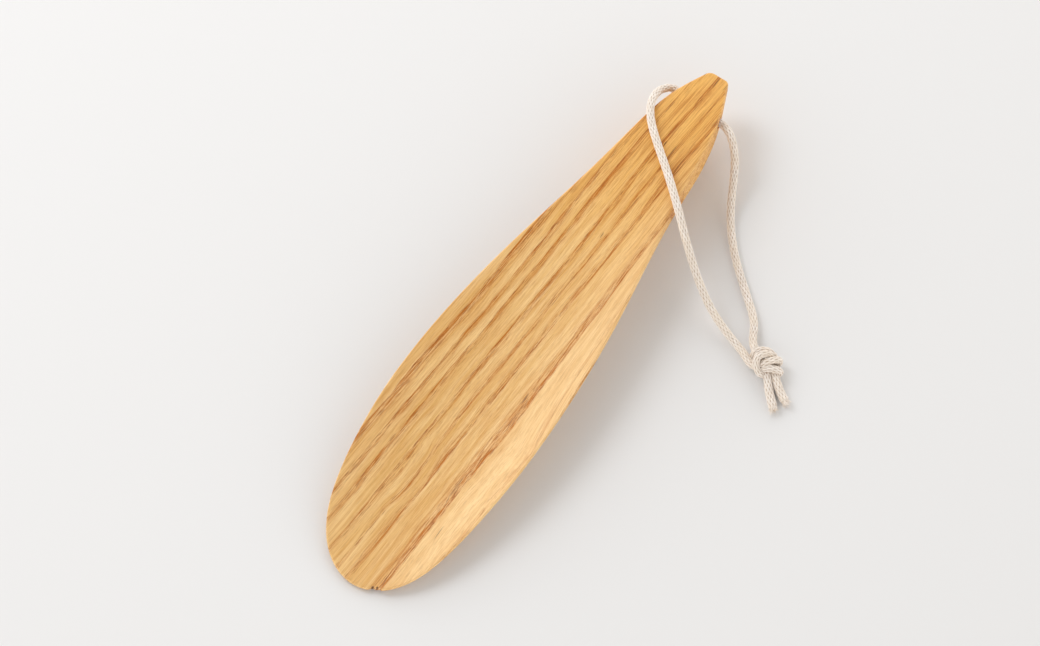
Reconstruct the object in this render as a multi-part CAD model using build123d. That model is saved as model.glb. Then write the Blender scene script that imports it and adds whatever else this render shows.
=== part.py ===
from build123d import *
import os
from math import pi, radians, tan

# A carved wooden shoehorn with a loop of cotton cord through its handle end.
# The horn lies dish side up. +X runs along it to the handle end, +Y to its left, +Z up.
# The origin is on the surface it lies on, under the middle of the horn. Millimetres.

horn_length = 200.0
widest_half = 25.3      # half the blade's width, at its widest
end_half = 3.5          # half the square-cut handle end
end_corner = 1.6        # rounding of the handle end's two corners, seen from above
rim_round = 0.45        # softened edge all round the horn
steep = 0.9             # an edge whose direction rises by more than this is an upright corner
blank_height = 40.0     # the block that the horn is cut from, higher than the horn
hole_x = 87.5           # the cross hole runs along Y through the handle
hole_z = 15.5
hole_radius = 2.0
cord_diameter = 2.6
mouth_y = 9.0           # where the cord leaves each end of the cross hole
knot_centre = Vector(30.7, -62.6, 4.4)
knot_heading = -122.0   # degrees about Z: the way the cord's ends leave the knot
knot_radius = 4.4
knot_length = 9.2
knot_round = 3.4

# The horn's cross sections: distance from the handle end, half width, height of the top at the
# middle, rise of the top from the middle to the rim, height of the underside at the middle,
# and height of the side at the rim.
stations = [
    (-2, 2.8, 18.4, 0.1, 11.3, 4.5),
    (6, 5.9, 19.3, 0.1, 8.0, 7.0),
    (14, 8.8, 19.8, 0.1, 3.4, 10.5),
    (22, 10.4, 20.0, 0.1, 0.5, 12.5),
    (30, 11.7, 20.0, 0.1, -0.4, 13.0),
    (38, 13.1, 19.8, 0.2, 1.6, 11.0),
    (48, 14.9, 19.0, 0.4, 6.3, 7.6),
    (60, 17.1, 17.8, 0.9, 10.0, 4.6),
    (75, 19.5, 16.0, 1.8, 10.9, 2.6),
    (95, 22.2, 13.5, 3.1, 9.7, 1.8),
    (120, 24.4, 10.2, 4.8, 6.8, 1.6),
    (140, 25.3, 7.4, 5.8, 4.2, 1.6),
    (162, 23.7, 4.5, 5.5, 1.5, 1.5),
    (180, 20.0, 2.6, 3.9, -0.2, 1.4),
    (190, 16.0, 2.0, 2.2, -0.2, 1.3),
    (202, 12.0, 1.9, 1.1, 0.6, 1.2),
]
section_widening = 1.12  # the sections run past the outline, which then trims them
section_margin = 0.6

# The cord from the hole's left mouth, over the handle and down to the knot.
left_route = [
    (87.5, 9.0, 15.5),
    (87.5, 12.6, 15.5),
    (86.4, 15.6, 17.2),
    (83.2, 17.0, 20.6),
    (78.0, 15.0, 24.0),
    (71.4, 8.8, 25.2),
    (63.0, -2.2, 25.2),
    (55.2, -13.2, 24.8),
    (49.6, -21.4, 20.6),
    (44.6, -29.2, 13.4),
    (39.8, -37.8, 7.2),
    (36.0, -46.4, 3.5),
    (32.9, -53.8, 2.9),
    (31.6, -58.6, 3.7),
]

# The cord from the hole's right mouth, down beside the handle and along to the knot.
right_route = [
    (87.5, -9.0, 15.5),
    (87.5, -12.6, 15.5),
    (85.9, -16.2, 13.6),
    (82.6, -19.2, 10.6),
    (78.0, -21.6, 7.2),
    (71.8, -24.4, 4.2),
    (64.4, -29.0, 2.1),
    (56.6, -36.0, 1.5),
    (49.2, -44.8, 1.6),
    (42.6, -52.6, 2.4),
    (37.4, -57.6, 3.7),
    (33.6, -60.4, 4.5),
]

# The two loose ends, from inside the knot.
long_tail_route = [
    (28.4, -64.4, 4.2),
    (25.4, -67.4, 2.7),
    (22.6, -70.0, 1.5),
    (19.6, -73.2, 1.4),
]
short_tail_route = [
    (31.2, -66.6, 4.4),
    (28.6, -69.9, 2.9),
    (26.4, -72.6, 1.6),
    (24.0, -75.4, 1.4),
]


def outline():
    """The horn seen from above: a blunt end, a short steep taper, then a long teardrop."""
    tail = horn_length / 2
    taper_end = (tail - 12, 8.3)
    widest = (-38, widest_half)
    end_line = Line((tail, -end_half), (tail, end_half))
    taper = Line((tail, end_half), taper_end)
    flank = Spline(
        taper_end,
        (64, 12.7),
        (10, 21.7),
        widest,
        tangents=[(-1, 0.22), (-1, 0)],
    )
    tip = Spline(
        widest,
        (-60, 23.9),
        (-76, 21.2),
        (-88, 17.0),
        (-96, 10.6),
        (-tail, 0),
        tangents=[(-1, 0), (0, -1)],
    )
    left_side = [taper, flank, tip]
    right_side = [mirror(edge, about=Plane.XZ) for edge in left_side]
    face = make_face([end_line, *left_side, *right_side])
    corners = face.vertices().sort_by(Axis.X)[-2:]
    return fillet(corners, end_corner)


def cross_section(distance, half, top, dish, bottom, side):
    """One section across the horn, its top and underside both shallow parabolas."""
    span = half * section_widening + section_margin
    top_bow = dish * (span / half) ** 2
    under_bow = (top + dish - side - bottom) * (span / half) ** 2
    over = Bezier((-span, top + top_bow), (0, top - top_bow), (span, top + top_bow))
    under = Bezier((-span, bottom + under_bow), (0, bottom - under_bow), (span, bottom + under_bow))
    left_wall = Line(over @ 1, under @ 1)
    right_wall = Line(over @ 0, under @ 0)
    plane = Plane(origin=(horn_length / 2 - distance, 0, 0), x_dir=(0, 1, 0), z_dir=(1, 0, 0))
    return plane * make_face([over, left_wall, under, right_wall])


def horn():
    """The carved wood: lofted sections trimmed to the outline, flat where it rests."""
    body = loft([cross_section(*row) for row in stations])
    body = body & extrude(outline(), amount=blank_height)
    rims = [edge for edge in body.edges() if edge.center().Z > rim_round]
    rims = [edge for edge in rims if abs(edge.tangent_at(0.5).Z) < steep]
    body = fillet(rims, rim_round)
    hole = Pos(hole_x, 0, hole_z) * Rot(90, 0, 0) * Cylinder(hole_radius, 4 * mouth_y)
    return body - hole


def bend_radii(points):
    """Each corner's arc: as large as its two runs allow."""
    radii = []
    for before, here, after in zip(points, points[1:], points[2:]):
        run_in = Vector(*here) - Vector(*before)
        run_out = Vector(*after) - Vector(*here)
        turn = radians(run_in.get_angle(run_out))
        radii.append(0.45 * min(run_in.length, run_out.length) / tan(turn / 2))
    return radii


def cord_tube(name, points):
    radii = bend_radii(points)
    path = FilletPolyline(*points, radius=radii)
    ring = Plane(origin=path @ 0, z_dir=path % 0) * Circle(cord_diameter / 2)
    tube = sweep(ring, path=path)
    expected = pi * (cord_diameter / 2) ** 2 * path.length
    print(f"{name}: length {path.length:.1f} mm, tube {tube.volume:.0f} of {expected:.0f} mm3")
    print("  bend radii", " ".join(f"{r:.1f}" for r in radii))
    return tube


def knot():
    """The knot's outer shape: a rounded barrel that lies on the surface."""
    barrel = Cylinder(knot_radius, knot_length)
    barrel = fillet(barrel.edges().filter_by(GeomType.CIRCLE), knot_round)
    return Pos(*knot_centre) * Rot(0, 0, knot_heading) * Rot(0, 90, 0) * barrel


def cord_in_hole():
    return Pos(hole_x, 0, hole_z) * Rot(90, 0, 0) * Cylinder(cord_diameter / 2, 2 * mouth_y)


cord_knot = knot()
parts = {
    "horn": horn(),
    "cord_in_hole": cord_in_hole(),
    "cord_left_strand": cord_tube("left strand", left_route) - cord_knot,
    "cord_right_strand": cord_tube("right strand", right_route) - cord_knot,
    "cord_knot": cord_knot,
    "cord_tail_long": cord_tube("long tail", long_tail_route) - cord_knot,
    "cord_tail_short": cord_tube("short tail", short_tail_route) - cord_knot,
}

os.makedirs("parts", exist_ok=True)
for name, shape in parts.items():
    export_step(shape, f"parts/{name}.step")
    box = shape.bounding_box()
    print(f"{name}: {len(shape.solids())} solid, {shape.volume:.0f} mm3, {box.min} to {box.max}")
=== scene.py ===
import bmesh
import bpy
import math
import random
import numpy as np
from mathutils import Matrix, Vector, noise


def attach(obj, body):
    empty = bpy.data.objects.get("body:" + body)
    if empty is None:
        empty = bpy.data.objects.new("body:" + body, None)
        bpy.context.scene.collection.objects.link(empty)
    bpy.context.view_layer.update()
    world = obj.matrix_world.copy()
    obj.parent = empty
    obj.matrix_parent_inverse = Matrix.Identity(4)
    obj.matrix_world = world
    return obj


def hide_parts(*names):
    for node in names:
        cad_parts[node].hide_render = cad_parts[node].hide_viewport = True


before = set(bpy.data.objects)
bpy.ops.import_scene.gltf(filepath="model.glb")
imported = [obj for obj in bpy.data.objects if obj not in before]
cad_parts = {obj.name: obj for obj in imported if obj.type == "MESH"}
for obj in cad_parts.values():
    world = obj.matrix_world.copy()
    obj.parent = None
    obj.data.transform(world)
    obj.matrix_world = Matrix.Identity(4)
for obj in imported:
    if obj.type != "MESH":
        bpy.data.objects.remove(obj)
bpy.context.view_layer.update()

mm = 0.001
scene = bpy.context.scene
scene.view_settings.view_transform = "Standard"


def fromSrgb(red, green, blue):
    # 0-255 screen values to a linear colour
    parts = []
    for value in (red, green, blue):
        value = value / 255
        parts.append(value / 12.92 if value < 0.04045 else ((value + 0.055) / 1.055) ** 2.4)
    return (*parts, 1.0)


def makePiece(name, points, faces):
    # points are in millimetres
    mesh = bpy.data.meshes.new(name)
    mesh.from_pydata((np.asarray(points) * mm).tolist(), [], faces)
    mesh.update()
    mesh.polygons.foreach_set("use_smooth", [True] * len(mesh.polygons))
    piece = bpy.data.objects.new(name, mesh)
    scene.collection.objects.link(piece)
    return piece


def addFloats(piece, name, values):
    layer = piece.data.attributes.new(name, "FLOAT", "POINT")
    layer.data.foreach_set("value", np.asarray(values, dtype=np.float32).ravel())


def gridFaces(rows, columns, closed=False, start=0):
    # quads between the rows of a grid of points; closed joins the last column to the first
    faces = []
    across = columns if closed else columns - 1
    for row in range(rows - 1):
        for column in range(across):
            after = (column + 1) % columns
            a = start + row * columns + column
            b = start + row * columns + after
            faces.append((a, b, b + columns, a + columns))
    return faces


def cubicSpline(knots, values, startSlope=None, endSlope=None):
    # a smooth line through the values; a missing slope leaves that end free
    knots = np.asarray(knots, dtype=float)
    values = np.asarray(values, dtype=float)
    count = len(knots)
    gaps = np.diff(knots)
    rises = np.diff(values) / gaps
    matrix = np.zeros((count, count))
    right = np.zeros(count)
    for i in range(1, count - 1):
        matrix[i, i - 1:i + 2] = gaps[i], 2 * (gaps[i] + gaps[i - 1]), gaps[i - 1]
        right[i] = 3 * (gaps[i] * rises[i - 1] + gaps[i - 1] * rises[i])
    if startSlope is None:
        matrix[0, :2] = 2, 1
        right[0] = 3 * rises[0]
    else:
        matrix[0, 0] = 1
        right[0] = startSlope
    if endSlope is None:
        matrix[-1, -2:] = 1, 2
        right[-1] = 3 * rises[-1]
    else:
        matrix[-1, -1] = 1
        right[-1] = endSlope
    slopes = np.linalg.solve(matrix, right)

    def evaluate(where):
        where = np.asarray(where, dtype=float)
        i = np.clip(np.searchsorted(knots, where) - 1, 0, count - 2)
        t = (where - knots[i]) / gaps[i]
        return (
            (1 + 2 * t) * (1 - t) ** 2 * values[i]
            + t * (1 - t) ** 2 * gaps[i] * slopes[i]
            + t * t * (3 - 2 * t) * values[i + 1]
            + t * t * (t - 1) * gaps[i] * slopes[i + 1]
        )

    return evaluate


class Finish:
    # a new material and short ways to add and join its nodes
    def __init__(self, name):
        self.material = bpy.data.materials.new(name)
        self.material.use_nodes = True
        self.tree = self.material.node_tree
        self.shader = self.tree.nodes["Principled BSDF"]

    def put(self, value, socket):
        if isinstance(value, bpy.types.NodeSocket):
            self.tree.links.new(value, socket)
        else:
            socket.default_value = value

    def math(self, operation, a, b=0.0, clamp=False):
        node = self.tree.nodes.new("ShaderNodeMath")
        node.operation = operation
        node.use_clamp = clamp
        self.put(a, node.inputs[0])
        self.put(b, node.inputs[1])
        return node.outputs[0]

    def add(self, a, b):
        return self.math("ADD", a, b)

    def times(self, a, b):
        return self.math("MULTIPLY", a, b)

    def vector(self, x, y, z):
        node = self.tree.nodes.new("ShaderNodeCombineXYZ")
        self.put(x, node.inputs[0])
        self.put(y, node.inputs[1])
        self.put(z, node.inputs[2])
        return node.outputs[0]

    def stretched(self, place, scales):
        # the place with each of its three parts times its own scale
        return self.vector(*[self.times(part, scale) for part, scale in zip(place, scales)])

    def grain(self, vector, detail=2.0, roughness=0.5):
        # noise from 0 to 1, at the vector's own scale
        node = self.tree.nodes.new("ShaderNodeTexNoise")
        self.put(vector, node.inputs["Vector"])
        node.inputs["Scale"].default_value = 1.0
        node.inputs["Detail"].default_value = detail
        node.inputs["Roughness"].default_value = roughness
        return node.outputs["Fac"]

    def between(self, value, low, high, newLow=0.0, newHigh=1.0, smooth=True):
        node = self.tree.nodes.new("ShaderNodeMapRange")
        node.interpolation_type = "SMOOTHSTEP" if smooth else "LINEAR"
        self.put(value, node.inputs["Value"])
        node.inputs["From Min"].default_value = low
        node.inputs["From Max"].default_value = high
        node.inputs["To Min"].default_value = newLow
        node.inputs["To Max"].default_value = newHigh
        return node.outputs["Result"]

    def ramp(self, value, stops):
        # stops are (place from 0 to 1, colour)
        node = self.tree.nodes.new("ShaderNodeValToRGB")
        node.color_ramp.interpolation = "LINEAR"
        self.put(value, node.inputs[0])
        elements = node.color_ramp.elements
        while len(elements) < len(stops):
            elements.new(0.5)
        for element, (place, colour) in zip(elements, stops):
            element.position = place
            element.color = colour
        return node.outputs["Color"]

    def mix(self, share, a, b):
        # colour a where the share is 0, colour b where it is 1
        node = self.tree.nodes.new("ShaderNodeMix")
        node.data_type = "RGBA"
        self.put(share, node.inputs[0])
        self.put(a, node.inputs[6])
        self.put(b, node.inputs[7])
        return node.outputs[2]

    def attribute(self, name):
        # a number stored on the mesh's points
        node = self.tree.nodes.new("ShaderNodeAttribute")
        node.attribute_name = name
        return node.outputs["Fac"]

    def place(self):
        # a point's x, y and z on the object, in millimetres
        where = self.tree.nodes.new("ShaderNodeTexCoord").outputs["Object"]
        scale = self.tree.nodes.new("ShaderNodeVectorMath")
        scale.operation = "SCALE"
        self.put(where, scale.inputs[0])
        scale.inputs["Scale"].default_value = 1 / mm
        parts = self.tree.nodes.new("ShaderNodeSeparateXYZ")
        self.put(scale.outputs[0], parts.inputs[0])
        return parts.outputs[0], parts.outputs[1], parts.outputs[2]

    def bump(self, height, strength, distance):
        # distance in millimetres
        node = self.tree.nodes.new("ShaderNodeBump")
        node.inputs["Strength"].default_value = strength
        node.inputs["Distance"].default_value = distance * mm
        self.put(height, node.inputs["Height"])
        self.put(node.outputs[0], self.shader.inputs["Normal"])


camera = {
    "azimuth": -55.0,
    "elevation": 65.0,
    "distance": 1.0,         # metres, as are the aim and the two limits
    "aim": (-0.0005, 0.0069, 0.0016),
    "nearest": 0.05,
    "farthest": 50.0,
    "lens": 111.2,
    "sensor": 36.0,
}


def makeCamera():
    turn = math.radians(camera["azimuth"])
    rise = math.radians(camera["elevation"])
    back = Vector((
        math.sin(turn) * math.cos(rise),
        -math.cos(turn) * math.cos(rise),
        math.sin(rise),
    ))
    data = bpy.data.cameras.new("camera")
    data.lens = camera["lens"]
    data.sensor_width = camera["sensor"]
    data.clip_start = camera["nearest"]
    data.clip_end = camera["farthest"]
    holder = bpy.data.objects.new("camera", data)
    holder.location = Vector(camera["aim"]) + back * camera["distance"]
    holder.rotation_mode = "QUATERNION"
    holder.rotation_quaternion = (-back).to_track_quat("-Z", "Y")
    scene.collection.objects.link(holder)
    scene.camera = holder


makeCamera()
print("camera placed")


cord = {
    "diameter": 2.6,
    "yarns": 8,              # carriers each way round the braid
    "stitch": 1.3,           # how far along the cord one crossing reaches
    "relief": 0.22,          # depth between the yarns
    "uneven": 0.22,          # how far the yarns stray from their even spacing
    "wander": (0.7, 1.3),    # how quickly they stray, along the cord and round it
    "ragged": 0.05,          # how far the cord's thickness strays, as a share of it
    "raggedScale": 0.9,
    "weave": 0.42,           # how much a yarn rises over its neighbour
    "lowYarn": 0.6,          # the lowest and the highest that a yarn shows
    "highYarn": 1.35,
    "seam": 0.3,             # how deep the line is where two yarns meet
    "seamWidth": 0.36,
    "narrowing": 1.9,        # a higher number makes each yarn narrower
    "pointsRound": 64,
    "step": 0.15,
    "light": (244, 236, 228),
    # painted shade: the colour that the hollows between the yarns are darkened towards
    "paintedCreviceShade": (176, 150, 124),
    "dullYarn": (196, 172, 146),
    "patch": (236, 219, 196),
    "fibreLine": (214, 194, 168),
    "fibreScale": (9.0, 1.3, 1.0),       # fine across a yarn and long along it
    "patchScale": (0.22, 0.22, 0.22),
    "fuzzScale": (9.0, 9.0, 9.0),
    "roughness": 0.92,
    "sheen": 0.25,
    "sheenRoughness": 0.5,
    "specular": 0.2,
}

knotFoot = Vector((30.4, -62.7, 0.0))    # on the floor, under the knot
knotRight = Vector((0.5736, -0.8192, 0.0))
knotUp = Vector((0.8192, 0.5736, 0.0))


def inKnot(right, up, height):
    # a point given across the knot, along it and above the floor
    point = knotFoot + knotRight * right + knotUp * up
    return (point.x, point.y, height)


# from the right mouth of the hole, through it, over the handle and down to the knot
leftRoute = [
    (87.5, -8.0, 15.5),
    (87.6, 2.0, 15.5),
    (88.3, 6.2, 15.3),
    (89.5, 10.5, 16.1),
    (86.6, 12.6, 17.4),
    (82.9, 13.0, 19.4),
    (78.4, 11.9, 21.2),
    (74.5, 9.6, 21.8),
    (70.9, 6.3, 21.8),
    (66.4, 1.0, 21.8),
    (61.2, -5.5, 21.8),
    (56.6, -10.9, 21.8),
    (51.4, -16.8, 21.0),
    (46.8, -22.6, 16.6),
    (41.7, -29.9, 10.6),
    (36.9, -38.1, 5.6),
    (33.9, -45.7, 2.9),
    (32.0, -51.9, 2.1),
    inKnot(-5.6, 4.2, 2.3),
    inKnot(-4.4, 1.5, 2.7),
    inKnot(-3.0, -0.3, 2.9),
    inKnot(-0.9, -1.1, 2.8),
    inKnot(1.4, -1.8, 2.5),
]

# from the right mouth of the hole, down beside the handle and along to the knot
rightRoute = [
    (87.5, -8.0, 15.5),
    (87.4, -10.8, 15.5),
    (85.8, -14.4, 14.0),
    (82.0, -18.4, 10.2),
    (76.4, -21.6, 6.0),
    (70.6, -24.6, 3.0),
    (63.8, -29.2, 1.8),
    (55.7, -36.6, 1.4),
    (48.1, -45.6, 1.4),
    (41.8, -52.8, 1.7),
    inKnot(-2.6, 8.6, 2.4),
    inKnot(-2.2, 5.4, 3.1),
    inKnot(-1.3, 2.4, 3.5),
    inKnot(0.3, 0.2, 3.4),
    inKnot(2.4, -1.2, 3.2),
]


def readRoute(name, points):
    # the smooth line that has these control points
    curve = bpy.data.curves.new(name, "CURVE")
    curve.dimensions = "3D"
    curve.resolution_u = 24
    spline = curve.splines.new("NURBS")
    spline.points.add(len(points) - 1)
    for target, point in zip(spline.points, points):
        target.co = (point[0] * mm, point[1] * mm, point[2] * mm, 1.0)
    spline.order_u = 3
    spline.use_endpoint_u = True
    holder = bpy.data.objects.new(name, curve)
    scene.collection.objects.link(holder)
    bpy.context.view_layer.update()
    mesh = bpy.data.meshes.new_from_object(holder)
    line = np.array([v.co[:] for v in mesh.vertices]) / mm
    bpy.data.objects.remove(holder)
    bpy.data.meshes.remove(mesh)
    bpy.data.curves.remove(curve)
    return line


def evenSteps(line, step):
    # the line again at even steps, and how far along it each step is
    lengths = np.linalg.norm(np.diff(line, axis=0), axis=1)
    keep = np.concatenate(([True], lengths > 1e-6))
    line = line[keep]
    reach = np.concatenate(([0.0], np.cumsum(np.linalg.norm(np.diff(line, axis=0), axis=1))))
    count = max(4, int(round(reach[-1] / step)))
    marks = np.linspace(0.0, reach[-1], count + 1)
    even = np.stack([np.interp(marks, reach, line[:, axis]) for axis in range(3)], axis=1)
    return even, marks


def carriedFrames(line):
    # two directions square to the line, carried along it without twist
    ahead = np.gradient(line, axis=0)
    ahead /= np.linalg.norm(ahead, axis=1)[:, None]
    side = np.cross(ahead[0], (0.0, 0.0, 1.0))
    if np.linalg.norm(side) < 0.1:
        side = np.cross(ahead[0], (0.0, 1.0, 0.0))
    sides = []
    for direction in ahead:
        side = side - direction * np.dot(side, direction)
        side = side / np.linalg.norm(side)
        sides.append(side)
    sides = np.array(sides)
    return sides, np.cross(ahead, sides)


def ringPoints(spine, angle, reach):
    # rings of points round the spine, each point at its own distance from it
    sides, ups = carriedFrames(spine)
    outward = (
        sides[:, None, :] * np.cos(angle)[None, :, None]
        + ups[:, None, :] * np.sin(angle)[None, :, None]
    )
    return spine[:, None, :] + outward * reach[:, :, None]


def crown(across):
    # a yarn's rounded height from one edge to the other
    return np.sqrt(np.clip(1 - (cord["narrowing"] * across) ** 2, 0, 1))


def scatter(values):
    # a number from 0 to 1 that looks random and is always the same for the same value
    return np.mod(np.sin(values) * 43758.5453, 1.0)


def braidPattern(marks, angle, phase):
    # the height, tone and place on its yarn of each point round and along the cord
    turn = cord["yarns"] * angle[None, :] / (2 * math.pi)
    lengthwise, crosswise = cord["wander"]
    every = 4                # worked out at every fourth mark, which is fine enough
    wander = np.array([
        [
            noise.noise(Vector((
                mark * lengthwise, math.sin(a) * crosswise + phase * 9, math.cos(a) * crosswise
            )))
            for a in angle
        ]
        for mark in marks[::every]
    ])
    wander = np.repeat(wander, every, axis=0)[:len(marks)]
    turn = turn + cord["uneven"] * wander
    travel = marks[:, None] / (2 * cord["stitch"]) + phase
    first = turn + travel
    second = turn - travel
    firstIndex = np.floor(first)
    secondIndex = np.floor(second)
    firstAcross = first - firstIndex - 0.5
    secondAcross = second - secondIndex - 0.5
    parity = np.where(np.mod(firstIndex, 2) == 0, 1.0, -1.0)
    otherParity = np.where(np.mod(secondIndex, 2) == 0, 1.0, -1.0)
    weave = cord["weave"]
    firstHeight = crown(firstAcross) + weave * parity * np.cos(math.pi * (second - 0.5))
    secondHeight = crown(secondAcross) - weave * otherParity * np.cos(math.pi * (first - 0.5))
    lead = np.abs(firstHeight - secondHeight)
    seam = 1 - np.clip(lead / cord["seamWidth"], 0, 1)
    low = cord["lowYarn"]
    high = cord["highYarn"]
    height = (np.clip(np.maximum(firstHeight, secondHeight), low, high) - low) / (high - low)
    height = height - cord["seam"] * seam
    top = firstHeight > secondHeight
    # a number for each crossing, so that each has its own tone
    pick = np.where(
        top,
        firstIndex * 12.9898 + np.round(second - 0.5) * 78.233,
        secondIndex * 39.425 + np.round(first - 0.5) * 27.17 + 5.0,
    )
    across = np.where(top, firstAcross, secondAcross)
    along = np.where(top, second, first)
    return height, scatter(pick), across, along


def braidTube(line, radiusAt=None, phase=0.0):
    # a round braid: two families of yarns that pass over and under each other
    spine, marks = evenSteps(line, cord["step"])
    around = cord["pointsRound"]
    angle = np.arange(around) * 2 * math.pi / around
    height, tone, across, along = braidPattern(marks, angle, phase)
    radius = np.full(len(marks), cord["diameter"] / 2)
    if radiusAt is not None:
        radius = radius * np.array([radiusAt(part) for part in marks / marks[-1]])
    ragged = cord["ragged"] * np.array([
        noise.noise(Vector((mark * cord["raggedScale"], phase * 7, 3.0))) for mark in marks
    ])
    reach = radius[:, None] * (1 + ragged[:, None]) - cord["relief"] * (1 - height)
    reach = np.maximum(reach, 0.12 * radius[:, None])
    rows = len(spine)
    rings = ringPoints(spine, angle, reach).reshape(-1, 3)
    points = np.vstack((rings, spine[0], spine[-1]))
    faces = gridFaces(rows, around, closed=True)
    startPole = len(points) - 2
    endPole = len(points) - 1
    lastRow = (rows - 1) * around
    for column in range(around):
        after = (column + 1) % around
        faces.append((startPole, after, column))
        faces.append((endPole, lastRow + column, lastRow + after))
    faces = [face[::-1] for face in faces]
    # hollow is how deep each point lies between the yarns; the cotton finish paints shade from it
    extras = {
        "hollow": np.append((1 - height).ravel(), (0.5, 0.5)),
        "tone": np.append(tone.ravel(), (0.5, 0.5)),
        "across": np.append(across.ravel(), (0.0, 0.0)),
        "along": np.append(along.ravel(), (0.0, 0.0)),
    }
    return points, faces, extras


def joinTubes(name, tubes):
    # one piece from several closed tubes, with what is stored on their points
    points = []
    faces = []
    extras = {"hollow": [], "tone": [], "across": [], "along": []}
    start = 0
    for tubePoints, tubeFaces, tubeExtras in tubes:
        points.append(tubePoints)
        faces.extend(tuple(start + i for i in face) for face in tubeFaces)
        for key in extras:
            extras[key].append(tubeExtras[key])
        start += len(tubePoints)
    piece = makePiece(name, np.vstack(points), faces)
    for key, values in extras.items():
        addFloats(piece, key, np.concatenate(values))
    return piece


def cottonFinish():
    finish = Finish("natural cotton braid")
    place = finish.place()
    onYarn = (finish.attribute("across"), finish.attribute("along"), 0.0)
    fibres = finish.grain(finish.stretched(onYarn, cord["fibreScale"]), 3.0, 0.6)
    # painted shade: the deeper a point lies between the yarns, the darker its colour
    depth = finish.between(finish.attribute("hollow"), 0.25, 1.15)
    colour = finish.mix(depth, fromSrgb(*cord["light"]), fromSrgb(*cord["paintedCreviceShade"]))
    dull = finish.times(finish.attribute("tone"), 0.22)
    colour = finish.mix(dull, colour, fromSrgb(*cord["dullYarn"]))
    patches = finish.grain(finish.stretched(place, cord["patchScale"]), 3.0)
    patched = finish.between(patches, 0.35, 0.7, 0.0, 0.35)
    colour = finish.mix(patched, colour, fromSrgb(*cord["patch"]))
    lined = finish.between(fibres, 0.5, 0.8, 0.0, 0.5)
    colour = finish.mix(lined, colour, fromSrgb(*cord["fibreLine"]))
    finish.put(colour, finish.shader.inputs["Base Color"])
    finish.shader.inputs["Roughness"].default_value = cord["roughness"]
    finish.shader.inputs["Sheen Weight"].default_value = cord["sheen"]
    finish.shader.inputs["Sheen Roughness"].default_value = cord["sheenRoughness"]
    finish.shader.inputs["Specular IOR Level"].default_value = cord["specular"]
    fuzz = finish.grain(finish.stretched(place, cord["fuzzScale"]), 2.0)
    height = finish.add(finish.times(fibres, 0.7), finish.times(fuzz, 0.4))
    finish.bump(height, 0.7, 0.12)
    return finish.material


cotton = cottonFinish()


def makeCordPiece(name, tubes, replaced):
    # replaced names the plain solids that this piece stands for
    piece = joinTubes(name, tubes)
    piece.data.materials.append(cotton)
    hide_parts(*replaced)
    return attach(piece, "loop")


leftLine = readRoute("left_line", leftRoute)
rightLine = readRoute("right_line", rightRoute)
leftStrand = makeCordPiece(
    "left_strand", [braidTube(leftLine)], ("cord_left_strand", "cord_in_hole")
)
rightStrand = makeCordPiece(
    "right_strand", [braidTube(rightLine, phase=0.3)], ("cord_right_strand",)
)
print("cord strands braided")


# each turn's points are across the knot, along it and above the floor
knot = {
    "tightness": 0.92,       # the cord's thickness in the knot, against its own
    "swell": 0.14,           # how much thicker a tail is at its tip, as a share
    "closing": 0.9,          # where a tail begins to close, as a share of its length
    "fibres": 46,            # loose yarn ends at each tail's tip
    "fibreRoot": 1.2,        # how far back from the tip each one starts
    "fibreOut": 0.85,        # how far from the tail's middle it starts
    "fibreSplay": 0.6,       # how much farther out the widest one ends
    "fibreLong": 1.35,       # the length of one that has a reach of 1
    "fibreSpread": (0.3, 1.0),
    "fibreReach": (0.7, 2.0),
    "fibreThick": (0.07, 0.13),
    "fibreTaper": (1.0, 1.0, 1.0, 0.95, 0.9, 0.8, 0.6, 0.2),
    "fibreSides": 6,
    "frontWrap": [
        (3.0, 0.7, 1.5), (3.4, 1.4, 3.2), (2.3, 2.2, 5.1), (0.2, 1.9, 6.6), (-1.8, 0.8, 6.4),
        (-2.1, -1.4, 5.1), (-1.3, -3.1, 3.6), (0.3, -3.4, 2.3), (1.4, -2.6, 1.3),
    ],
    "outerWrap": [
        (-3.0, 1.4, 1.4), (-2.9, 2.8, 2.8), (-1.5, 4.0, 3.9), (0.5, 4.1, 4.5), (2.3, 3.5, 4.6),
        (3.7, 2.4, 3.8), (4.2, 1.4, 2.4), (3.5, 0.5, 1.3),
    ],
    "upperEnd": [
        (-0.8, -0.9, 3.8), (0.4, -0.7, 5.3), (2.4, -0.1, 5.5), (4.4, 0.6, 4.9), (5.6, 0.9, 3.4),
        (5.0, 0.3, 1.6), (3.3, -0.7, 1.3),
    ],
    "lowerEnd": [
        (-0.6, -1.9, 2.8), (0.5, -2.0, 4.4), (2.6, -2.3, 4.7), (4.6, -2.5, 4.2), (5.7, -2.6, 2.7),
        (4.9, -2.9, 1.3), (3.1, -3.0, 1.3),
    ],
    "longTail": [
        (0.8, -1.6, 2.4), (1.6, -3.8, 2.9), (1.8, -6.8, 1.9), (2.3, -10.4, 1.5), (3.2, -14.6, 1.5),
    ],
    "shortTail": [
        (3.0, -1.6, 2.4), (3.9, -3.8, 2.8), (4.7, -6.8, 1.9), (5.8, -9.8, 1.5), (7.1, -12.4, 1.5),
    ],
}


def tailRadius(part):
    # a loosened end that swells a little and closes at its tip
    swell = 1.0 + knot["swell"] * part
    closing = knot["closing"]
    if part > closing:
        swell *= math.sqrt(1 - 0.8 * ((part - closing) / (1 - closing)) ** 2)
    return swell


def knotTubes():
    # the four turns that show, with their ends hidden inside the knot
    tubes = []
    for number, key in enumerate(("frontWrap", "outerWrap", "upperEnd", "lowerEnd")):
        line = readRoute(key, [inKnot(*point) for point in knot[key]])
        tubes.append(braidTube(line, lambda part: knot["tightness"], 0.2 * number))
    return tubes


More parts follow.
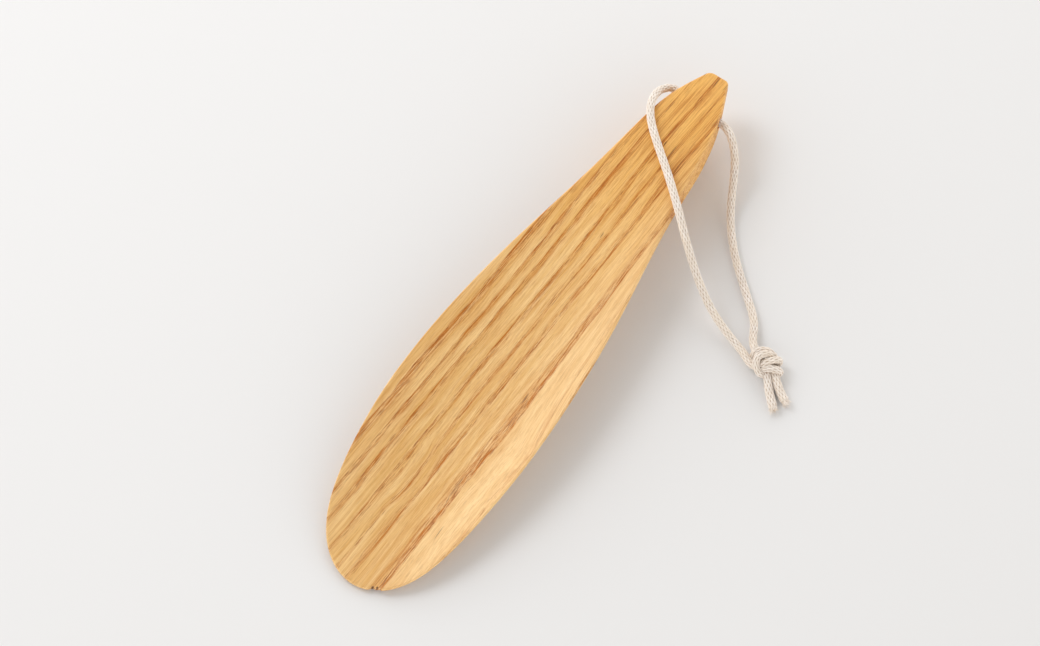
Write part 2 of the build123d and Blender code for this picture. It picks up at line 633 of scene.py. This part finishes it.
def frayedFibres(line, count, seed):
    # loose yarn ends that splay out of a tail's tip
    chance = random.Random(seed)
    tip = line[-1]
    ahead = line[-1] - line[-6]
    ahead = ahead / np.linalg.norm(ahead)
    side = np.cross(ahead, (0.0, 0.0, 1.0))
    up = np.cross(side, ahead)
    taper = np.array(knot["fibreTaper"])
    rows = len(taper)
    around = knot["fibreSides"]
    angle = np.arange(around) * 2 * math.pi / around
    faces = [face[::-1] for face in gridFaces(rows, around, closed=True)]
    faces.append(tuple(range(around)))
    faces.append(tuple(range((rows - 1) * around, rows * around))[::-1])
    empty = np.zeros(rows * around)
    tubes = []
    for _ in range(count):
        turn = chance.uniform(0.0, 2 * math.pi)
        spread = chance.uniform(*knot["fibreSpread"])
        reach = chance.uniform(*knot["fibreReach"])
        thick = chance.uniform(*knot["fibreThick"])
        out = side * math.cos(turn) + up * math.sin(turn)
        bend = side * chance.uniform(-0.5, 0.5) + up * chance.uniform(-0.4, 0.5)
        spine = []
        for share in np.linspace(0.0, 1.0, rows):
            outward = knot["fibreOut"] + knot["fibreSplay"] * spread * share * share
            forward = reach * share * knot["fibreLong"] - knot["fibreRoot"]
            point = tip + ahead * forward + out * outward + bend * share * share
            point[2] = max(point[2], thick)       # none sinks into the floor
            spine.append(point)
        thickness = np.repeat(thick * taper[:, None], around, axis=1)
        rings = ringPoints(np.array(spine), angle, thickness)
        extras = {
            "hollow": empty + 0.1,
            "tone": empty + chance.random(),
            "across": empty,
            "along": np.repeat(np.linspace(0.0, 1.5, rows), around),
        }
        tubes.append((rings.reshape(-1, 3), faces, extras))
    return tubes


def tailTubes(key, seed):
    line = readRoute(key, [inKnot(*point) for point in knot[key]])
    braid = braidTube(line, tailRadius, 0.1 * seed)
    return [braid, *frayedFibres(line, knot["fibres"], seed)]


knotPiece = makeCordPiece("knot", knotTubes(), ("cord_knot",))
longTail = makeCordPiece("long_tail", tailTubes("longTail", 3), ("cord_tail_long",))
shortTail = makeCordPiece("short_tail", tailTubes("shortTail", 5), ("cord_tail_short",))


def lineLength(line):
    return float(np.linalg.norm(np.diff(line, axis=0), axis=1).sum()) * mm


print("cords", lineLength(leftLine), lineLength(rightLine))


horn = {
    "length": 200.0,
    "endHalf": 3.5,          # half the square-cut handle end
    "leftCorner": 3.0,       # rounding of the handle end's corners, seen from above
    "rightCorner": 1.9,
    "rows": 400,
    "rowGap": 0.7,           # a turn of rowTurn radians gets as many rows as a straight
    "rowTurn": 0.06,         # stretch of rowGap millimetres
    "columns": 76,
    "inset": 1.45,           # width of the band that carries the rounded rim
    "topRound": 0.9,
    "underRound": 1.3,
    "mostRound": 0.45,       # of the thickness, at the most
    "roundSteps": 8,
    "holeX": 87.5,
    "holeZ": 15.5,
    "mouths": [(8.2, 2.0), (9.2, 2.45), (12.0, 3.2)],   # distance along the hole, radius
    "toolMarks": 0.07,       # height of the knife's long shallow waves
    "toolMarkScale": (0.022, 0.13, 0.13),
    "flatBlend": 0.25,       # how gently the worn flats meet the curve
    "sharpFrom": 50.0,       # edges that turn more than this look sharp, degrees
    "chips": [(-98.3, -6.8, 1.5, 0.8), (-97.6, -8.6, 1.2, 0.6)],   # x, y, reach, depth
    "chipAbove": 0.8,        # only points higher than this are pushed down
    # the sideways bow: distance from the handle end, shift to the left
    "bow": [(0, 0.0), (60, 0.0), (110, 0.2), (150, 0.5), (180, 0.1), (200, -0.6)],
}

# distance from the handle end, half width, top height at the middle, rise of the top to the rim,
# underside height at the middle, height of the side at the rim
hornSections = [
    (-2, 2.8, 18.4, 0.1, 11.3, 4.5),
    (6, 5.9, 19.3, 0.1, 8.0, 7.0),
    (14, 8.8, 19.8, 0.1, 3.4, 10.5),
    (22, 10.4, 20.0, 0.1, 0.5, 12.5),
    (30, 11.7, 20.0, 0.1, -0.4, 13.0),
    (38, 13.1, 19.8, 0.2, 1.6, 11.0),
    (48, 14.9, 19.0, 0.4, 6.3, 7.6),
    (60, 17.1, 17.8, 0.9, 10.0, 4.6),
    (75, 19.5, 16.0, 1.8, 10.9, 2.6),
    (95, 22.2, 13.5, 3.1, 9.7, 1.8),
    (120, 24.4, 10.2, 4.8, 6.8, 1.6),
    (140, 25.3, 7.4, 5.8, 4.2, 1.6),
    (162, 23.7, 4.5, 5.5, 1.5, 1.5),
    (180, 20.0, 2.6, 3.9, -0.2, 1.4),
    (190, 16.0, 2.0, 2.2, -0.2, 1.3),
    (202, 12.0, 1.9, 1.1, 0.6, 1.2),
]
# the left half of the outline, seen from above
hornFlank = [(88.0, 8.3), (64.0, 12.7), (10.0, 21.7), (-38.0, 25.3)]
hornTip = [(-38.0, 25.3), (-60.0, 23.9), (-76.0, 21.2), (-88.0, 17.0), (-96.0, 10.6), (-100.0, 0.0)]

sectionColumns = list(zip(*hornSections))
halfAt, topAt, dishAt, underAt, sideAt = [
    cubicSpline(sectionColumns[0], column) for column in sectionColumns[1:]
]
bowAt = cubicSpline(*zip(*horn["bow"]), 0.0)


def smoothThrough(points, startWay, endWay, count):
    # a smooth plan curve through the points, leaving and arriving along the given directions
    points = np.array(points)
    gaps = np.linalg.norm(np.diff(points, axis=0), axis=1)
    marks = np.concatenate(([0.0], np.cumsum(gaps)))
    startWay = np.array(startWay) / np.linalg.norm(startWay)
    endWay = np.array(endWay) / np.linalg.norm(endWay)
    where = np.linspace(0.0, marks[-1], count)
    return np.stack([
        cubicSpline(marks, points[:, axis], startWay[axis], endWay[axis])(where)
        for axis in (0, 1)
    ], axis=1)


def sideOutline(corner):
    # from the square end's rounded corner, along one side, to the middle of the tip, in points
    # close enough together for the rows to be read off them
    tail = horn["length"] / 2
    flankStart = np.array(hornFlank[0])
    way = flankStart - (tail, horn["endHalf"])
    turn = math.pi / 2 - math.atan2(way[1], -way[0])
    centre = np.array((tail - corner, horn["endHalf"] - corner * math.tan(turn / 2)))
    angles = np.linspace(0.0, turn, 60)
    arc = centre + corner * np.stack((np.cos(angles), np.sin(angles)), axis=1)
    flank = smoothThrough([tuple(arc[-1]), *hornFlank], way, (-1, 0), 1200)
    tip = smoothThrough(hornTip, (-1, 0), (0, -1), 900)
    return np.vstack((arc, flank[1:], tip[1:]))


def outlineRows(outline):
    # rows close together where the outline turns
    ways = np.diff(outline, axis=0)
    lengths = np.linalg.norm(ways, axis=1)
    headings = np.unwrap(np.arctan2(ways[:, 1], ways[:, 0]))
    turns = np.abs(np.diff(headings, prepend=headings[0]))
    gaps = lengths / horn["rowGap"] + turns / horn["rowTurn"]
    reach = np.concatenate(([0.0], np.cumsum(gaps)))
    marks = np.linspace(0.0, reach[-1], horn["rows"])
    points = np.stack([np.interp(marks, reach, outline[:, axis]) for axis in (0, 1)], axis=1)
    tangents = np.gradient(points, axis=0)
    tangents /= np.linalg.norm(tangents, axis=1)[:, None]
    inward = np.stack((-tangents[:, 1], tangents[:, 0]), axis=1)
    inward[0] = (-1.0, 0.0)
    inward[-1] = (1.0, 0.0)
    return points, inward


def topHeight(x, y):
    s = horn["length"] / 2 - x
    return topAt(s) + dishAt(s) * (y / halfAt(s)) ** 2


def underHeight(x, y):
    s = horn["length"] / 2 - x
    middle = underAt(s)
    rise = topAt(s) + dishAt(s) - sideAt(s) - middle
    height = middle + rise * (y / halfAt(s)) ** 2
    soft = horn["flatBlend"]
    return 0.5 * (height + np.sqrt(height * height + soft * soft))


def toolMark(x, y, z, shift):
    # how far the knife's waves move a point; another shift gives other waves
    scaleX, scaleY, scaleZ = horn["toolMarkScale"]
    return horn["toolMarks"] * noise.noise(Vector((x * scaleX, y * scaleY, z * scaleZ + shift)))


def rimProfile(thickness):
    # round the rim from the top to the underside: the distance in from the edge, the drop or the
    # share of the way down, and the surface that it is measured from
    inset = horn["inset"]
    most = horn["mostRound"] * thickness
    topRound = min(horn["topRound"], most)
    underRound = min(horn["underRound"], most)
    steps = [(inset, 0.0, "top"), (0.5 * (inset + topRound), 0.0, "top")]
    for angle in np.linspace(0.0, math.pi / 2, horn["roundSteps"]):
        steps.append((topRound * (1 - math.sin(angle)), topRound * (1 - math.cos(angle)), "top"))
    for share in (0.25, 0.5, 0.75):
        steps.append((0.0, share, "side"))
    for angle in np.linspace(math.pi / 2, 0.0, horn["roundSteps"]):
        steps.append(
            (underRound * (1 - math.sin(angle)), underRound * (1 - math.cos(angle)), "under")
        )
    steps += [(0.5 * (inset + underRound), 0.0, "under"), (inset, 0.0, "under")]
    return steps, topRound, underRound


def rimStrip(points, inward):
    # a row of rim points for each outline point
    strip = []
    for (x, y), (inX, inY) in zip(points, inward):
        thickness = float(topHeight(x, y) - underHeight(x, y))
        steps, topRound, underRound = rimProfile(thickness)
        row = []
        for distance, drop, kind in steps:
            px = x + inX * distance
            py = y + inY * distance
            top = float(topHeight(px, py))
            under = float(underHeight(px, py))
            if kind == "top":
                height = top - drop
            elif kind == "under":
                height = under + drop
            else:
                height = (top - topRound) * (1 - drop) + (under + underRound) * drop
            row.append((px, py, height))
        strip.append(row)
    return np.array(strip)


def buildHorn():
    # the dished top, the underside, both rims and the square end, as grids that meet edge to edge
    leftEdge, leftIn = outlineRows(sideOutline(horn["leftCorner"]))
    rightEdge, rightIn = outlineRows(sideOutline(horn["rightCorner"]))
    left = rimStrip(leftEdge, leftIn)
    right = rimStrip(rightEdge, rightIn) * (1.0, -1.0, 1.0)
    across = horn["columns"]
    share = np.linspace(0.0, 1.0, across + 1)[None, :]
    leftInner = (leftEdge + leftIn * horn["inset"])[:, None, :]
    rightInner = ((rightEdge + rightIn * horn["inset"]) * (1.0, -1.0))[:, None, :]
    plan = leftInner * (1 - share[:, :, None]) + rightInner * share[:, :, None]
    plan[-1, :, 1] = 0.0
    xs, ys = plan[:, :, 0], plan[:, :, 1]
    top = np.stack((xs, ys, topHeight(xs, ys)), axis=2)
    under = np.stack((xs, ys, underHeight(xs, ys)), axis=2)
    endYs = leftEdge[0, 1] * (1 - share[0]) - rightEdge[0, 1] * share[0]
    endXs = np.full(across + 1, leftEdge[0, 0])
    endFace = rimStrip(
        np.stack((endXs, endYs), axis=1), np.tile((-1.0, 0.0), (across + 1, 1))
    )
    grids = [
        (top, False), (under, True), (left, False), (right, True), (endFace, True),
    ]
    allPoints = []
    faces = []
    start = 0
    for grid, flip in grids:
        rows, columns = grid.shape[:2]
        made = gridFaces(rows, columns, start=start)
        faces.extend(face[::-1] if flip else face for face in made)
        allPoints.append(grid.reshape(-1, 3))
        start += rows * columns
    cloud = np.vstack(allPoints)
    middle = horn["length"] / 2
    for chipX, chipY, reach, depth in horn["chips"]:
        away = np.hypot(cloud[:, 0] - chipX, cloud[:, 1] - chipY) / reach
        push = depth * np.clip(1 - away * away, 0, 1) ** 2
        cloud[:, 0] += push
        cloud[:, 2] -= 0.5 * push * (cloud[:, 2] > horn["chipAbove"])
    for i, (x, y, z) in enumerate(cloud):
        cloud[i, 2] += toolMark(x, y, z, 0.0)
        cloud[i, 1] += toolMark(x, y, z, 40.0) + float(bowAt(middle - x))
    cloud[:, 2] = np.maximum(cloud[:, 2], 0.0)
    return makePiece("carved_horn", cloud, faces)


def weld(piece, reach):
    # joins points closer than reach, which is in metres
    work = bmesh.new()
    work.from_mesh(piece.data)
    bmesh.ops.remove_doubles(work, verts=work.verts, dist=reach)
    bmesh.ops.dissolve_degenerate(work, edges=work.edges, dist=reach)
    bmesh.ops.recalc_face_normals(work, faces=work.faces)
    openEdges = [edge for edge in work.edges if len(edge.link_faces) != 2]
    print(piece.name, "points", len(work.verts), "open edges", len(openEdges))
    work.to_mesh(piece.data)
    work.free()


def holeCutter():
    # a drill with worn, slightly flared mouths, along Y
    rings = [(-y, radius) for y, radius in horn["mouths"][::-1]] + horn["mouths"]
    around = 48
    points = []
    for y, radius in rings:
        for step in range(around):
            angle = 2 * math.pi * step / around
            points.append((
                horn["holeX"] + radius * math.cos(angle), y, horn["holeZ"] + radius * math.sin(angle)
            ))
    faces = gridFaces(len(rings), around, closed=True)
    faces.append(tuple(range(around)))
    faces.append(tuple(range(len(points) - around, len(points)))[::-1])
    cutter = makePiece("hole_cutter", points, faces)
    weld(cutter, 1e-6)
    return cutter


def drill(piece, cutter):
    # cuts the hole for good and removes the cutter
    cut = piece.modifiers.new("hole", "BOOLEAN")
    cut.operation = "DIFFERENCE"
    cut.solver = "EXACT"
    cut.object = cutter
    bpy.context.view_layer.update()
    ready = piece.evaluated_get(bpy.context.evaluated_depsgraph_get())
    mesh = bpy.data.meshes.new_from_object(ready)
    piece.modifiers.clear()
    old = piece.data
    piece.data = mesh
    bpy.data.meshes.remove(old)
    bpy.data.objects.remove(cutter)
    piece.data.polygons.foreach_set("use_smooth", [True] * len(piece.data.polygons))
    piece.data.set_sharp_from_angle(angle=math.radians(horn["sharpFrom"]))


hornPiece = buildHorn()
weld(hornPiece, 2e-6)
drill(hornPiece, holeCutter())
print("horn carved")


wood = {
    "leanFrom": -20.0,       # x where the ring lines' places are given
    "rise": 0.0433,          # how much the lines lean across the horn, per mm along it
    "fan": 0.00056,          # how much more they lean away from the middle
    "spread": 0.0115,        # how fast the lines near the right rim turn to follow it
    "spreadFrom": -12.0,
    "spreadEnd": -18.0,      # the spread stops growing this far past leanFrom
    "depth": 0.12,           # how far the lines shift for each mm of height
    "waves": (1.6, 0.8),     # how far the slow and the quick waves move the lines
    "slowScale": (0.02, 0.05, 0.05),
    "quickScale": (0.045, 0.3, 0.3),
    "pale": (240, 201, 138),
    "warm": (222, 173, 101),
    "cream": (246, 210, 156),
    "handle": (236, 179, 87),
    "early": (183, 104, 7),
    "pore": (130, 64, 2),
    "mark": (84, 42, 8),
    # painted highlight along the rounded upper edge
    "rim": (250, 216, 160),
    # each streak's scale along and across the grain, its detail and roughness,
    # and the two noise values between which it grows dark
    "broad": (0.02, 0.5, 2.0, 0.6, 0.3, 0.7),
    "dash": (0.028, 1.9, 5.0, 0.72, 0.46, 0.57),
    "thin": (0.05, 4.4, 4.0, 0.72, 0.48, 0.58),
    "pores": (0.22, 4.6, 1.0, 0.6, 0.55, 0.63),
    "inward": 0.3,           # the streaks' scale down into the wood, against that across it
    # how strong the streaks are in a ring line (overall, dashes, thin) and outside (dashes, thin)
    "inLine": (0.28, 0.5, 0.3),
    "outside": (0.22, 0.22),
    "poreShare": (0.14, 0.6),            # everywhere, and more in a ring line
    # how the colour and the streaks change along x or across y: from, to, and a share at each
    "handleFrom": (5.0, 85.0, 0.0, 0.85),
    "creamFrom": (-5.0, -19.0, 0.0, 0.4),
    "streakedHandle": (20.0, 80.0, 0.85, 1.8),
    "plainEnd": (86.0, 97.0, 1.0, 0.6),
    "plainRight": (-8.0, -17.0, 1.0, 0.75),
    # each ring line's place across the horn at leanFrom, its strength and its width,
    # and which way it fades from its sharp side: 1 to the left, -1 to the right
    "rings": [
        (-38.0, 0.7, 3.0, 1), (-31.5, 0.8, 3.0, 1), (-23.6, 0.95, 2.2, 1), (-20.2, 0.35, 1.4, 1),
        (-12.4, 1.0, 3.6, 1), (-2.8, 0.8, 2.2, 1), (1.9, 0.7, 1.6, 1), (7.6, 0.8, 2.0, -1),
        (13.9, 0.8, 2.2, -1), (17.7, 0.8, 2.0, -1), (23.0, 1.0, 3.4, -1), (28.5, 0.8, 2.4, -1),
        (34.5, 0.8, 2.6, -1), (41.0, 0.8, 2.6, -1),
    ],
    "reach": 48.0,           # the rings' places lie within this of 0
    "overlap": 8.0,
    "halfway": 5.0,          # between the two halves of the rings
    # dark checks and pores, and two dark spots where the chips are at the tip: x, y, half length,
    # half width, strength
    "marks": [
        (-73.0, -14.0, 3.2, 0.2, 0.65), (97.3, -0.5, 3.0, 0.22, 0.75), (98.2, 4.0, 1.8, 0.2, 0.6),
        (97.2, -3.8, 2.0, 0.2, 0.6), (69.4, 0.3, 1.2, 0.26, 0.85), (68.0, -3.2, 4.5, 0.3, 0.45),
        (65.5, -7.6, 5.0, 0.35, 0.45), (32.8, -0.7, 1.5, 0.26, 0.6), (-24.0, -11.3, 2.6, 0.35, 0.55),
        (-58.5, -9.9, 5.5, 0.5, 0.3), (-97.7, -7.1, 0.8, 0.5, 0.95), (-97.0, -8.4, 0.6, 0.4, 0.9),
    ],
    "swirl": (-62.0, 3.4, 7.0, 3.0, 0.9),   # x, y, length, width and height of the kink
}


def ringStops(rings):
    # a sharp start and a slow fade for each ring line, as stops from 0 to 1
    stops = []
    for place, strength, width, sharp in rings:
        near = place - 0.35 * sharp
        peak = place
        fade = place + 0.45 * width * sharp
        far = place + width * sharp
        ring = [(near, 0.0), (peak, strength), (fade, strength * 0.55), (far, 0.0)]
        stops.extend(ring if sharp > 0 else ring[::-1])
    return stops


def ringDarkness(finish, across):
    # two ramps, because one holds at most 32 stops
    halves = []
    for part, low in enumerate((-wood["reach"], 0.0)):
        rings = [ring for ring in wood["rings"] if (ring[0] > wood["halfway"]) == bool(part)]
        span = wood["reach"] + wood["overlap"]
        place = finish.between(across, low, low + span, smooth=False)
        stops = [
            ((where - low) / span, (dark, dark, dark, 1.0)) for where, dark in ringStops(rings)
        ]
        halves.append(finish.ramp(place, stops))
    return finish.math("MAXIMUM", *halves)


def spot(finish, x, y, atX, atY, halfLength, halfWidth):
    # 1 at a place, falling smoothly to 0 on an ellipse round it
    sideX = finish.times(finish.add(x, -atX), 1 / halfLength)
    sideY = finish.times(finish.add(y, -atY), 1 / halfWidth)
    away = finish.add(finish.times(sideX, sideX), finish.times(sideY, sideY))
    return finish.between(away, 0.0, 1.0, 1.0, 0.0)


def ringPlace(finish, place, quick):
    # where a point lies across the ring lines, which lean, fan out, wave and round the kink
    x, y, z = place
    along = finish.add(x, -wood["leanFrom"])
    across = finish.add(y, finish.times(along, wood["rise"]))
    across = finish.add(across, finish.times(finish.times(y, along), wood["fan"]))
    past = finish.math("MAXIMUM", finish.add(finish.times(y, -1.0), wood["spreadFrom"]), 0.0)
    fanning = finish.math("MAXIMUM", along, wood["spreadEnd"])
    across = finish.add(across, finish.times(finish.times(past, fanning), -wood["spread"]))
    across = finish.add(across, finish.times(z, wood["depth"]))
    slow = finish.grain(finish.stretched(place, wood["slowScale"]), 1.0)
    for wave, size in zip((slow, quick), wood["waves"]):
        across = finish.add(across, finish.times(finish.add(wave, -0.5), size))
    swirlX, swirlY, swirlLong, swirlWide, swirlHigh = wood["swirl"]
    nearSwirl = spot(finish, x, y, swirlX, swirlY, 2 * swirlLong, 2 * swirlWide)
    return finish.add(across, finish.times(nearSwirl, swirlHigh))


def woodFinish():
    finish = Finish("pale ring-porous wood")
    place = finish.place()
    x, y, z = place
    quick = finish.grain(finish.stretched(place, wood["quickScale"]), 2.0)
    across = ringPlace(finish, place, quick)
    dark = ringDarkness(finish, across)

    def streak(kind):
        lengthwise, crosswise, detail, roughness, low, high = wood[kind]
        scales = (lengthwise, crosswise, crosswise * wood["inward"])
        grain = finish.grain(finish.stretched((x, across, z), scales), detail, roughness)
        return finish.between(grain, low, high)

    dash = streak("dash")
    thin = streak("thin")
    pores = streak("pores")
    base = finish.mix(streak("broad"), fromSrgb(*wood["warm"]), fromSrgb(*wood["pale"]))
    toHandle = finish.between(x, *wood["handleFrom"])
    base = finish.mix(toHandle, base, fromSrgb(*wood["handle"]))
    toRight = finish.between(y, *wood["creamFrom"])
    base = finish.mix(toRight, base, fromSrgb(*wood["cream"]))
    overall, dashed, thinned = wood["inLine"]
    inLine = finish.times(dark, finish.add(finish.times(dash, dashed), overall))
    inLine = finish.add(inLine, finish.times(finish.times(dark, thin), thinned))
    dashed, thinned = wood["outside"]
    outside = finish.add(finish.times(dash, dashed), finish.times(thin, thinned))
    outside = finish.times(outside, finish.between(x, *wood["streakedHandle"]))
    outside = finish.times(outside, finish.between(x, *wood["plainEnd"]))
    outside = finish.times(outside, finish.between(y, *wood["plainRight"]))
    shade = finish.math("ADD", inLine, outside, clamp=True)
    colour = finish.mix(shade, base, fromSrgb(*wood["early"]))
    everywhere, more = wood["poreShare"]
    poreShare = finish.times(pores, finish.add(finish.times(dark, more), everywhere))
    colour = finish.mix(poreShare, colour, fromSrgb(*wood["pore"]))
    # painted highlight: the rounded upper edge is lightened, less where a thin streak runs
    rim = finish.times(finish.attribute("rim"), finish.between(thin, 0.0, 1.0, 0.4, 0.1))
    colour = finish.mix(rim, colour, fromSrgb(*wood["rim"]))
    leaning = finish.add(y, finish.add(quick, -0.5))
    for atX, atY, halfLength, halfWidth, strength in wood["marks"]:
        mark = spot(finish, x, leaning, atX, atY, halfLength, halfWidth)
        colour = finish.mix(finish.times(mark, strength), colour, fromSrgb(*wood["mark"]))
    finish.put(colour, finish.shader.inputs["Base Color"])
    rough = finish.between(thin, 0.0, 1.0, 0.46, 0.6)
    finish.put(rough, finish.shader.inputs["Roughness"])
    finish.shader.inputs["Specular IOR Level"].default_value = 0.4
    # the darker streaks and the pores lie a little lower
    height = finish.add(finish.times(thin, -0.3), finish.times(pores, -0.6))
    height = finish.add(height, finish.times(shade, -0.6))
    finish.bump(height, 0.3, 0.1)
    return finish.material


def markRimHighlight(piece):
    # how far each point of the upper edge turns away from the dished face, which sets how much
    # painted highlight it gets
    normals = np.array([v.normal[:] for v in piece.data.vertices])
    points = np.array([v.co[:] for v in piece.data.vertices]) / mm
    level = topHeight(points[:, 0], points[:, 1]) - points[:, 2]
    upward = normals[:, 2]
    turned = np.clip((0.97 - upward) / 0.5, 0, 1) * np.clip((upward + 0.1) / 0.4, 0, 1)
    addFloats(piece, "rim", turned * np.clip((0.9 - level) / 0.5, 0, 1))


markRimHighlight(hornPiece)
hornPiece.data.materials.clear()
hornPiece.data.materials.append(woodFinish())
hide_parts("horn")
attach(hornPiece, "root")
print("wood finished")


light = {
    "azimuth": 3.0,          # of the key light, from +Y towards +X, degrees
    "elevation": 47.0,
    "distance": 1.4,         # metres
    "size": 0.68,
    "power": 5.9,
    "colour": (0.97, 1.0, 1.05),
    "world": 1.0,
    "horizon": 2.2,          # brightness of the room low down, against overhead
    "overhead": 0.15,
    "roomTint": (1.0, 0.985, 0.965, 1.0),
    "floor": (229, 228, 227),
    "floorHalf": 9000.0,
    "backDistance": 1.0,     # of the weak lamp beyond the handle end
    "backHeight": 0.7,
    "backSize": 0.8,
    "backPower": 2.2,
}


def makeFloor():
    half = light["floorHalf"]
    points = [(-half, -half, 0), (half, -half, 0), (half, half, 0), (-half, half, 0)]
    floor = makePiece("floor", points, [(0, 1, 2, 3)])
    finish = Finish("matte paper floor")
    finish.shader.inputs["Base Color"].default_value = fromSrgb(*light["floor"])
    finish.shader.inputs["Roughness"].default_value = 0.9
    finish.shader.inputs["Specular IOR Level"].default_value = 0.1
    floor.data.materials.append(finish.material)


def areaLight(name, location, size, power, colour):
    # a round lamp that faces the origin
    data = bpy.data.lights.new(name, "AREA")
    data.shape = "DISK"
    data.size = size
    data.energy = power
    data.color = colour
    holder = bpy.data.objects.new(name, data)
    holder.location = location
    holder.rotation_mode = "QUATERNION"
    holder.rotation_quaternion = location.to_track_quat("Z", "Y")
    scene.collection.objects.link(holder)


def makeLamps():
    turn = math.radians(light["azimuth"])
    rise = math.radians(light["elevation"])
    toward = Vector((
        math.sin(turn) * math.cos(rise), math.cos(turn) * math.cos(rise), math.sin(rise)
    ))
    key = toward * light["distance"]
    areaLight("soft_key", key, light["size"], light["power"], light["colour"])
    back = knotUp * light["backDistance"] + Vector((0.0, 0.0, light["backHeight"]))
    areaLight("weak_back", back, light["backSize"], light["backPower"], (1.0, 1.0, 1.0))


def makeRoom():
    # a room that is bright low down and dim overhead
    world = bpy.data.worlds.new("pale_room")
    world.use_nodes = True
    tree = world.node_tree
    background = tree.nodes["Background"]
    direction = tree.nodes.new("ShaderNodeTexCoord").outputs["Generated"]
    parts = tree.nodes.new("ShaderNodeSeparateXYZ")
    tree.links.new(direction, parts.inputs[0])
    climb = tree.nodes.new("ShaderNodeMapRange")
    climb.inputs["To Min"].default_value = light["horizon"]
    climb.inputs["To Max"].default_value = light["overhead"]
    tree.links.new(parts.outputs[2], climb.inputs["Value"])
    tint = tree.nodes.new("ShaderNodeMix")
    tint.data_type = "RGBA"
    tint.blend_type = "MULTIPLY"
    tint.inputs[0].default_value = 1.0
    tint.inputs[7].default_value = light["roomTint"]
    tree.links.new(climb.outputs["Result"], tint.inputs[6])
    tree.links.new(tint.outputs[2], background.inputs["Color"])
    background.inputs["Strength"].default_value = light["world"]
    scene.world = world


makeFloor()
makeLamps()
makeRoom()
print("floor and light placed")
